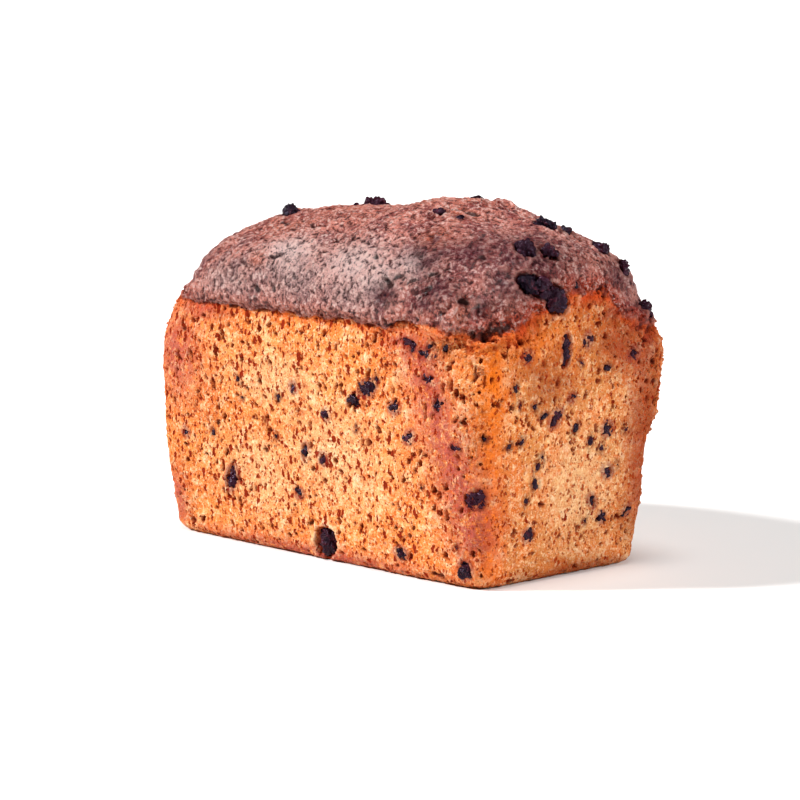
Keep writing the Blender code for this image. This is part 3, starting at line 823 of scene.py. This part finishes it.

# %% [markdown]
# Against the tin the dough is a dry orange-brown skin, pale where the flour shows and dark red in the holes.
# The free crust is darker, greyer and a little glossy, because its starch set hard. Each is a base colour
# with coats over it, in the order in which they cover each other: broad browning first, then specks, which
# on the crust are painted glints and painted shade in tiny pits, then what lies deep. The low places get
# painted shade and the raised ones painted light, and both are known from the relief that the tree leaves.


# %% The colours of the tin's side and of the crust
def tin_side_color(tree, place, field, mask, under):
    """The colour of the skin that the tin shaped."""
    return painted(tree, "#E88A42", [
        ("#C87E40", 0.8, field["torn_share"]),
        ("#DC7430", 0.9, blotches(tree, place, 17, 0.38, 0.66, 1)),
        ("#F4B476", 0.8, blotches(tree, place, 7, 0.5, 0.7, 2)),
        ("#E4B480", 0.75, field["pale"]),
        ("#D8641E", 0.6, blotches(tree, place, 2.4, 0.52, 0.62, 12)),
        ("#FFD8A4", 0.6, blotches(tree, place, 1.9, 0.54, 0.64, 14)),
        # Painted light on the raised places of the relief.
        ("#FFE8C0", 0.6, mask["high"]),
        ("#FFE9C4", 0.4, mask["bright"]),
        ("#F07410", 0.9, field["orange"], blotches(tree, place, 6, 0.26, 0.52, 13)),
        ("#A84C42", 0.95, field["reddened"], blotches(tree, place, 3.4, 0.3, 0.55, 5, rough=0.8)),
        ("#8E3A18", 0.8, field["dark_bake"], blotches(tree, place, 12, 0.28, 0.55, 6)),
        ("#A04C1C", 0.75, field["torn"], blotches(tree, place, 4, 0.34, 0.58, 15)),
        ("#BE4A22", 0.75, field["raw_red"], blotches(tree, place, 5, 0.3, 0.55, 16)),
        ("#C8481A", 0.6, under, blotches(tree, place, 4, 0.3, 0.55, 11)),
        ("#C04000", 0.7, mask["dark"]),
        ("#C04400", 0.75, mask["shade"]),
        # Painted shade in the sunk places of the relief.
        ("#98300A", 0.7, mask["low"]),
        ("#A03000", 0.85, mask["fine"]),
        ("#861E00", 0.97, mask["small"]),
        # Dark red in the real holes, deepened with painted shade.
        ("#701600", 0.97, field["pit"]),
        # Painted shade in the cracks, holes and crease.
        ("#500C00", 0.9, mask["painted_crack_shade"]),
    ])


def crust_color(tree, place, field, mask):
    """The colour of the free crust."""
    return painted(tree, "#EA8C7A", [
        ("#9C3E3E", 0.95, blotches(tree, place, 11, 0.4, 0.62, 3)),
        ("#BA9A96", 0.75, field["bloom"]),
        # Painted highlight on the dome's near shoulder.
        ("#FFDCD6", 0.9, field["sheen"]),
        # Burned dark maroon, and painted shade over the right of the crust.
        ("#581428", 0.95, field["scorched"]),
        ("#DA7458", 0.85, field["ruddy"], blotches(tree, place, 6, 0.3, 0.55, 8)),
        ("#C8401C", 0.9, field["raw_red"], blotches(tree, place, 5, 0.25, 0.5, 10)),
        # Painted glints, fewer where the crust is burned or shaded, then painted shade in tiny pits.
        ("#FFDCD2", 0.9, mask["painted_glint"], mask["calm"]),
        ("#2C080E", 0.92, mask["painted_speck_shade"]),
        # Painted light on the raised places of the relief, and painted shade in the sunk ones.
        ("#D8988A", 0.35, mask["high"]),
        ("#400E12", 0.5, mask["low"]),
        ("#30080C", 0.6, mask["small"]),
        # Painted shade in the crust's holes.
        ("#1E0608", 0.85, field["pit"]),
        # Painted shade in the cracks, holes and crease.
        ("#2A0405", 0.9, mask["painted_crack_shade"]),
    ])


print("two sets of colours ready")

# %% [markdown]
# Both are in one material, which fades from one to the other along the crust's edge, because that border
# is ragged on the real loaf and doesn't follow any seam of the mesh. The crust and the tin's side get a
# copy each, and the copies differ only in how much they shine.

# %% The bread's material
FRAY_SCALE = 0.2
FRAY_SIDE = 3.6
FRAY_END = 11.0
CRUST_GLOSS = 0.42
CRUMB_GLOSS = 0.12
CRUST_ROUGHNESS = 0.28
CRUMB_ROUGHNESS = 0.85
PORE_BUMP = -2.0
FINE_BUMP = -1.0
SPECK_BUMP = 4.5
BREAD_IOR = 1.45


def baked_rye_dough(name, gloss):
    """Baked rye dough: porous tin skin below, dry leathery crust above, one fading into the other."""
    material = bpy.data.materials.new(name)
    material.use_nodes = True
    tree = material.node_tree
    shader = tree.nodes["Principled BSDF"]
    place = millimetres(tree, node(tree, "ShaderNodeTexCoord").outputs["Object"])
    names = [*FIELDS, "pit", "relief", "bit_stain"]
    field = {name: node(tree, "ShaderNodeAttribute", attribute_name=name).outputs["Fac"] for name in names}
    mask = fine_masks(tree, place, field)

    # The crust's share: over the tin's line, ragged by a lot at the torn ends and by less elsewhere.
    fray = {"Vector": place, "Scale": FRAY_SCALE, "Detail": 6.0, "Roughness": 0.68}
    fray = node(tree, "ShaderNodeTexNoise", fray)
    fray = node(tree, "ShaderNodeMath", {0: fray, 1: 0.5}, operation="SUBTRACT")
    reach = {"Value": field["torn_share"], "To Min": FRAY_SIDE, "To Max": FRAY_END}
    reach = node(tree, "ShaderNodeMapRange", reach)
    edge = {0: fray, 1: reach, 2: field["over_line"]}
    edge = node(tree, "ShaderNodeMath", edge, operation="MULTIPLY_ADD")
    softness = {"Value": field["torn_share"], "To Min": 0.6, "To Max": 3.4}
    softness = node(tree, "ShaderNodeMapRange", softness)
    crust = {"Value": edge, "From Min": -0.6, "From Max": softness}
    crust = node(tree, "ShaderNodeMapRange", crust, interpolation_type="SMOOTHSTEP")
    under = {"Value": edge, "From Min": -5.0, "From Max": 0.5}
    under = node(tree, "ShaderNodeMapRange", under, interpolation_type="SMOOTHSTEP")

    # Juice has soaked in around the raisins and around the bits, over crust and tin skin alike.
    below = tin_side_color(tree, place, field, mask, under)
    above = crust_color(tree, place, field, mask)
    color = node(tree, "ShaderNodeMix", {"Factor": crust, "A": below, "B": above}, data_type="RGBA")
    wet = {"Value": field["juice"], "From Min": 0.1, "From Max": 0.9}
    wet = node(tree, "ShaderNodeMapRange", wet, interpolation_type="SMOOTHSTEP")
    color = painted(tree, color, [
        ("#86281E", 0.7, wet, blotches(tree, place, 3, 0.28, 0.52, 9)),
        ("#5A1A14", 0.85, field["bit_stain"], blotches(tree, place, 2.4, 0.34, 0.56, 4)),
    ])

    # Relief too fine for the mesh: grain and pores below, leathery specks above.
    rough_low = {0: mask["small"], 1: PORE_BUMP, 2: mask["grain"]}
    rough_low = node(tree, "ShaderNodeMath", rough_low, operation="MULTIPLY_ADD")
    rough_low = {0: mask["fine"], 1: FINE_BUMP, 2: rough_low}
    rough_low = node(tree, "ShaderNodeMath", rough_low, operation="MULTIPLY_ADD")
    rough_top = node(tree, "ShaderNodeMath", {0: mask["speck"], 1: SPECK_BUMP}, operation="MULTIPLY")
    relief = {"Factor": crust, "A": rough_low, "B": rough_top}
    relief = node(tree, "ShaderNodeMix", relief, data_type="FLOAT")
    bump = node(tree, "ShaderNodeBump", {"Strength": 1.0, "Distance": MM, "Height": relief})
    roughness = {"Value": crust, "To Min": CRUMB_ROUGHNESS, "To Max": CRUST_ROUGHNESS}
    roughness = node(tree, "ShaderNodeMapRange", roughness)

    tree.links.new(color, shader.inputs["Base Color"])
    tree.links.new(bump.outputs[0], shader.inputs["Normal"])
    tree.links.new(roughness.outputs[0], shader.inputs["Roughness"])
    shader.inputs["IOR"].default_value = BREAD_IOR
    shader.inputs["Specular IOR Level"].default_value = gloss
    return material


oven_crust = baked_rye_dough("oven_baked_rye_crust", CRUST_GLOSS)
tin_crumb = baked_rye_dough("tin_baked_rye_crumb", CRUMB_GLOSS)
print("nodes in each of the bread's materials:", len(tin_crumb.node_tree.nodes))

# %% [markdown]
# The skin itself: dough that rose against hot metal keeps thousands of burst bubbles, drawn out upwards as
# it climbed the tin, while the free crust dried into fine leathery lumps. Both follow the surface, so a tree
# makes them, together with the cuts and the openings over the raisins that were worked out above. The tree
# stores how far it moved each point and where the holes are, and the material paints shade into the low
# places and the holes and light onto the raised places.

# %% Bubbles and lumps as real relief
RELIEF = {
    "Pore depth": 2.5, "Lump height": 1.5, "Grain height": 2.3, "Torn height": 6.0,
    "Crust height": 3.6, "Opening depth": 1.9, "Lip height": 0.5,
}
LONG_HOLES = (3.8, 0.2, 0.33, 0.38)
ROUND_HOLES = (3.6, 0.45, 0.4, 0.75)
HOLE_BEND = 1.3
HOLE_SLOPE = 0.16
tree, given = start_tree("baked_skin", RELIEF)
place = millimetres(tree, node(tree, "GeometryNodeInputPosition"))
field = {
    name: node(tree, "GeometryNodeInputNamedAttribute", {"Name": name}, data_type="FLOAT")
    for name in ("over_line", "torn", "rim", "carved", "slits")
}
crusty = node(tree, "ShaderNodeMapRange", {"Value": field["over_line"], "From Min": -1.0, "From Max": 3.0})
pore_share = node(tree, "ShaderNodeMapRange", {"Value": crusty, "To Min": 1.0, "To Max": 0.3})
open_holes = []
for spacing, bare_share, widest, squash in (LONG_HOLES, ROUND_HOLES):
    depth = bubbles(tree, place, spacing, bare_share, widest, squash, HOLE_BEND)
    depth = {"Value": depth, "From Min": 0.0, "From Max": HOLE_SLOPE}
    open_holes.append(node(tree, "ShaderNodeMapRange", depth, interpolation_type="SMOOTHSTEP"))
holes = node(tree, "ShaderNodeMath", {0: open_holes[0], 1: field["slits"]}, operation="MULTIPLY")
holes = node(tree, "ShaderNodeMath", {0: holes, 1: open_holes[1]}, operation="MAXIMUM")
holes = node(tree, "ShaderNodeMath", {0: holes, 1: pore_share}, operation="MULTIPLY")


def centred(tree, place, size, detail, rough):
    """Noise of this size in mm, from -0.5 to 0.5."""
    noise = {"Vector": place, "Scale": 1 / size, "Detail": detail, "Roughness": rough}
    noise = node(tree, "ShaderNodeTexNoise", noise)
    return node(tree, "ShaderNodeMath", {0: noise.outputs[0], 1: 0.5}, operation="SUBTRACT")


terms = [
    (centred(tree, place, 7.0, 3.0, 0.55), given.outputs["Lump height"]),
    (centred(tree, place, 2.3, 3.0, 0.65), given.outputs["Grain height"]),
]
ragged = {0: centred(tree, place, 4.5, 5.0, 0.7), 1: field["torn"]}
ragged = node(tree, "ShaderNodeMath", ragged, operation="MULTIPLY")
terms.append((ragged, given.outputs["Torn height"]))
leathery = {0: centred(tree, place, 3.6, 4.0, 0.7), 1: crusty}
terms.append((node(tree, "ShaderNodeMath", leathery, operation="MULTIPLY"), given.outputs["Crust height"]))
print("kinds of lumps:", len(terms))

# %% [markdown]
# Over the raisins the skin is open. The distance to the raisin's outline wavers by noise, so the rim of
# each opening is ragged, and a narrow lip stands up around it. Then the lumps are added, the holes, the
# openings and the cuts are taken away, and the sum moves each point of the skin.

# %% Openings over the raisins, and the whole relief
waver = {0: centred(tree, place, 2.4, 3.0, 0.65), 1: 6.0, 2: field["rim"]}
waver = node(tree, "ShaderNodeMath", waver, operation="MULTIPLY_ADD")
opening = {"Value": waver, "From Min": -0.2, "From Max": -1.3}
opening = node(tree, "ShaderNodeMapRange", opening, interpolation_type="SMOOTHSTEP")
inner = node(tree, "ShaderNodeMapRange", {"Value": waver, "From Min": -0.9, "From Max": 0.1})
outer = node(tree, "ShaderNodeMapRange", {"Value": waver, "From Min": 2.2, "From Max": 0.4})
lip = node(tree, "ShaderNodeMath", {0: inner, 1: outer}, operation="MULTIPLY")
terms.append((lip, given.outputs["Lip height"]))

height = 0.0
for shape, size in terms:
    height = node(tree, "ShaderNodeMath", {0: shape, 1: size, 2: height}, operation="MULTIPLY_ADD")
for shape, size in ((holes, given.outputs["Pore depth"]), (opening, given.outputs["Opening depth"])):
    sunk = node(tree, "ShaderNodeMath", {0: shape, 1: size}, operation="MULTIPLY")
    height = node(tree, "ShaderNodeMath", {0: height, 1: sunk}, operation="SUBTRACT")
raised = node(tree, "ShaderNodeMath", {0: height, 1: field["carved"]}, operation="SUBTRACT")

bits = node(tree, "GeometryNodeObjectInfo", {"Object": raisin_bits})
nearest = node(tree, "GeometryNodeProximity", {0: bits.outputs["Geometry"]}, target_element="FACES")
bit_stain = {"Value": nearest.outputs["Distance"], "From Min": 2.4 * MM, "From Max": 0.2 * MM}
bit_stain = node(tree, "ShaderNodeMapRange", bit_stain)
shape = given.outputs["Geometry"]
# The holes are stored so that the material can paint shade into them.
for label, value in (("pit", holes), ("relief", height), ("bit_stain", bit_stain)):
    store = {"Geometry": shape, "Name": label, "Value": value}
    shape = node(tree, "GeometryNodeStoreNamedAttribute", store, domain="POINT")
shape = pushed_out(tree, shape, raised)
finish_tree(tree, node(tree, "GeometryNodeSetShadeSmooth", {"Geometry": shape}), tin_crumb)
grow(bread, tree, RELIEF)

# The base was pressed flat by the tin, so nothing hangs below it.
skin = coordinates(bread.data)
skin[:, 2] = np.maximum(skin[:, 2], 0)
bread.data.vertices.foreach_set("co", skin.astype(np.float32).ravel())
raisins.data.shade_smooth()
raisin_bits.data.shade_smooth()
print("triangles in the bread:", triangles(bread))

# %% [markdown]
# Where the dough tore, along the crust's edge at the ends, loose crumbs cling to it. Their number
# follows the torn field, so a tree strews points by that density and sets a small lumpy grain on each.
# The points carry the bread's fields with them, so each crumb takes the colour of its place.

# %% Crumbs on the torn places
CRUMBS = {"Crumbs per cm2": 13.0, "Smallest": 0.3, "Largest": 0.95}
PER_CM2 = 1e4
CRUMB_LUMPS = 1.2
tree, given = start_tree("crumbs", CRUMBS)
source = node(tree, "GeometryNodeObjectInfo", {"Object": bread})
torn_here = node(tree, "GeometryNodeInputNamedAttribute", {"Name": "torn"}, data_type="FLOAT")
density = {0: torn_here, 1: given.outputs["Crumbs per cm2"]}
density = node(tree, "ShaderNodeMath", density, operation="MULTIPLY")
density = node(tree, "ShaderNodeMath", {0: density, 1: PER_CM2}, operation="MULTIPLY")
strewn = {"Mesh": source.outputs["Geometry"], "Density": density, "Seed": 9}
strewn = node(tree, "GeometryNodeDistributePointsOnFaces", strewn)
turn = {"Min": (0, 0, 0), "Max": (math.tau, math.tau, math.tau), "Seed": 2}
turn = node(tree, "FunctionNodeRandomValue", turn, data_type="FLOAT_VECTOR")
radius = {"Min": given.outputs["Smallest"], "Max": given.outputs["Largest"], "Seed": 3}
radius = node(tree, "FunctionNodeRandomValue", radius, data_type="FLOAT")
balls = balls_on(tree, strewn.outputs["Points"], turn, radius, 2)
place = millimetres(tree, node(tree, "GeometryNodeInputPosition"))
lumpy = centred(tree, place, 0.9, 1.0, 0.5)
lumpy = node(tree, "ShaderNodeMath", {0: lumpy, 1: CRUMB_LUMPS}, operation="MULTIPLY")
finish_tree(tree, pushed_out(tree, balls, lumpy), tin_crumb)
crumbs = new_object("crumbs", bpy.data.meshes.new("crumbs"))
grow(crumbs, tree, CRUMBS)
print("triangles in the crumbs:", triangles(crumbs))

# %% [markdown]
# One mesh for the whole bread would be heavy, and its surface would have to share one texture when the
# model is exported. It has a natural seam, the crust's edge, so it is parted there into the crust and the
# part that the tin shaped. Each is closed inside by a low cone, and the seam's edges are marked sharp, so
# that the cone doesn't bend the shading of the surface.

# %% Part the bread at the crust's edge
MOST_TRIANGLES = 186000
CONE_DEPTH = 3.0


def parted(label, above, material):
    """The bread above the crust's edge, or below it, as a closed piece."""
    body = bmesh.new()
    body.from_mesh(bread.data)
    layer = body.verts.layers.float["over_line"]
    other = [face for face in body.faces if (sum(vert[layer] for vert in face.verts) > 0) != above]
    bmesh.ops.delete(body, geom=other, context="FACES")
    seam = [edge for edge in body.edges if edge.is_boundary]
    height = sum(edge.verts[0].co.z for edge in seam) / len(seam)
    tip = body.verts.new((0, 0, height + CONE_DEPTH * MM * (1 if above else -1)))
    for edge in seam:
        edge.smooth = False
        loop = edge.link_loops[0]
        body.faces.new((loop.link_loop_next.vert, loop.vert, tip)).smooth = True
    piece = new_object(label, bpy.data.meshes.new(label))
    body.to_mesh(piece.data)
    piece.data.materials.append(material)
    print(label, "has a seam of", len(seam), "edges and", triangles(piece), "triangles")
    return piece


crust = parted("crust", True, oven_crust)
tin_side = parted("tin_side", False, tin_crumb)
bpy.data.objects.remove(bread)

# The flat base needs few faces, so the lower piece is thinned there and nowhere else.
flat_base = tin_side.vertex_groups.new(name="flat_base")
low_points = np.flatnonzero(coordinates(tin_side.data)[:, 2] < 0.3 * MM)
flat_base.add([int(point) for point in low_points], 1.0, "REPLACE")
thin = tin_side.modifiers.new("thin", "DECIMATE")
thin.ratio = min(1.0, MOST_TRIANGLES / triangles(tin_side))
thin.vertex_group = flat_base.name
thin.vertex_group_factor = 1.0
settle(tin_side)
print("triangles in the tin side:", triangles(tin_side))

# %% [markdown]
# The five pieces now stand where the imported solids stand. Each hangs from the root, and the solids that it
# takes the place of are hidden.

# %% Give the pieces to the frame
for piece, nodes, slot in (
    (crust, ["loaf"], "baked_crust"),
    (tin_side, ["loaf"], "baked_crust"),
    (crumbs, [], "baked_crust"),
    (raisins, RAISIN_NODES, "raisin_skin"),
    (raisin_bits, [], "raisin_skin"),
):
    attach(piece, "root")
    if nodes:
        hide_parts(*nodes)
    print(piece.name, "stands for", len(nodes), "packed solids")

# %% [markdown]
# A pale floor that runs to the horizon and a room that is white near the horizon and dimmer above.
# Suns light the whole floor evenly, so it stays white to the edge. Each is wide, for soft shadows, and
# each grazes one side of the loaf, which is what brings the pores out.

# %% Floor, lights and camera
CAMERA_AZIMUTH = math.radians(46.7)
CAMERA_ELEVATION = math.radians(8.1)
CAMERA_DISTANCE = 1.3333
CAMERA_LENS = 135.0
AIM = Vector((0, 0, 0.0655))

back = Vector(
    (
        math.sin(CAMERA_AZIMUTH) * math.cos(CAMERA_ELEVATION),
        -math.cos(CAMERA_AZIMUTH) * math.cos(CAMERA_ELEVATION),
        math.sin(CAMERA_ELEVATION),
    )
)
right = Vector((math.cos(CAMERA_AZIMUTH), math.sin(CAMERA_AZIMUTH), 0))
up = Vector((0, 0, 1))
camera = new_object("camera", bpy.data.cameras.new("camera"))
camera.data.lens = CAMERA_LENS
camera.data.clip_start = 0.01
facing_loaf = back.to_track_quat("Z", "Y").to_matrix().to_4x4()
camera.matrix_world = Matrix.Translation(AIM + back * CAMERA_DISTANCE) @ facing_loaf
bpy.context.scene.camera = camera


def sun(name, direction, width, strength):
    """A sun that shines from this direction, as wide as this many degrees."""
    lamp = bpy.data.lights.new(name, "SUN")
    lamp.angle = math.radians(width)
    lamp.energy = strength
    obj = new_object(name, lamp)
    obj.matrix_world = direction.normalized().to_track_quat("Z", "Y").to_matrix().to_4x4()


sun("key_left", right * -0.95 + back * 0.1 + up * 0.75, 7, 5.0)
sun("fill_right", right * 0.95 + back * 0.35 + up * 0.5, 12, 2.4)
sun("overhead", up + back * 0.15, 25, 1.5)

floor = new_object("floor", bpy.data.meshes.new("floor"))
floor.data.from_pydata([(-40, -40, 0), (40, -40, 0), (40, 40, 0), (-40, 40, 0)], [], [(0, 1, 2, 3)])
pale = bpy.data.materials.new("pale_floor")
pale.use_nodes = True
pale.node_tree.nodes["Principled BSDF"].inputs["Base Color"].default_value = linear("#F2F1F0")
pale.node_tree.nodes["Principled BSDF"].inputs["Roughness"].default_value = 0.9
floor.data.materials.append(pale)

world = bpy.data.worlds.new("room")
world.use_nodes = True
tree = world.node_tree
direction = node(tree, "ShaderNodeTexCoord").outputs["Generated"]
rise = node(tree, "ShaderNodeSeparateXYZ", {0: direction})
light = {"Value": rise.outputs["Z"], "From Min": 0.12, "From Max": 0.4, "To Min": 1.1, "To Max": 0.42}
light = node(tree, "ShaderNodeMapRange", light)
tree.links.new(light.outputs[0], tree.nodes["Background"].inputs["Strength"])
bpy.context.scene.world = world
bpy.context.scene.view_settings.view_transform = "Standard"
print("camera at", [round(value, 3) for value in camera.matrix_world.translation])
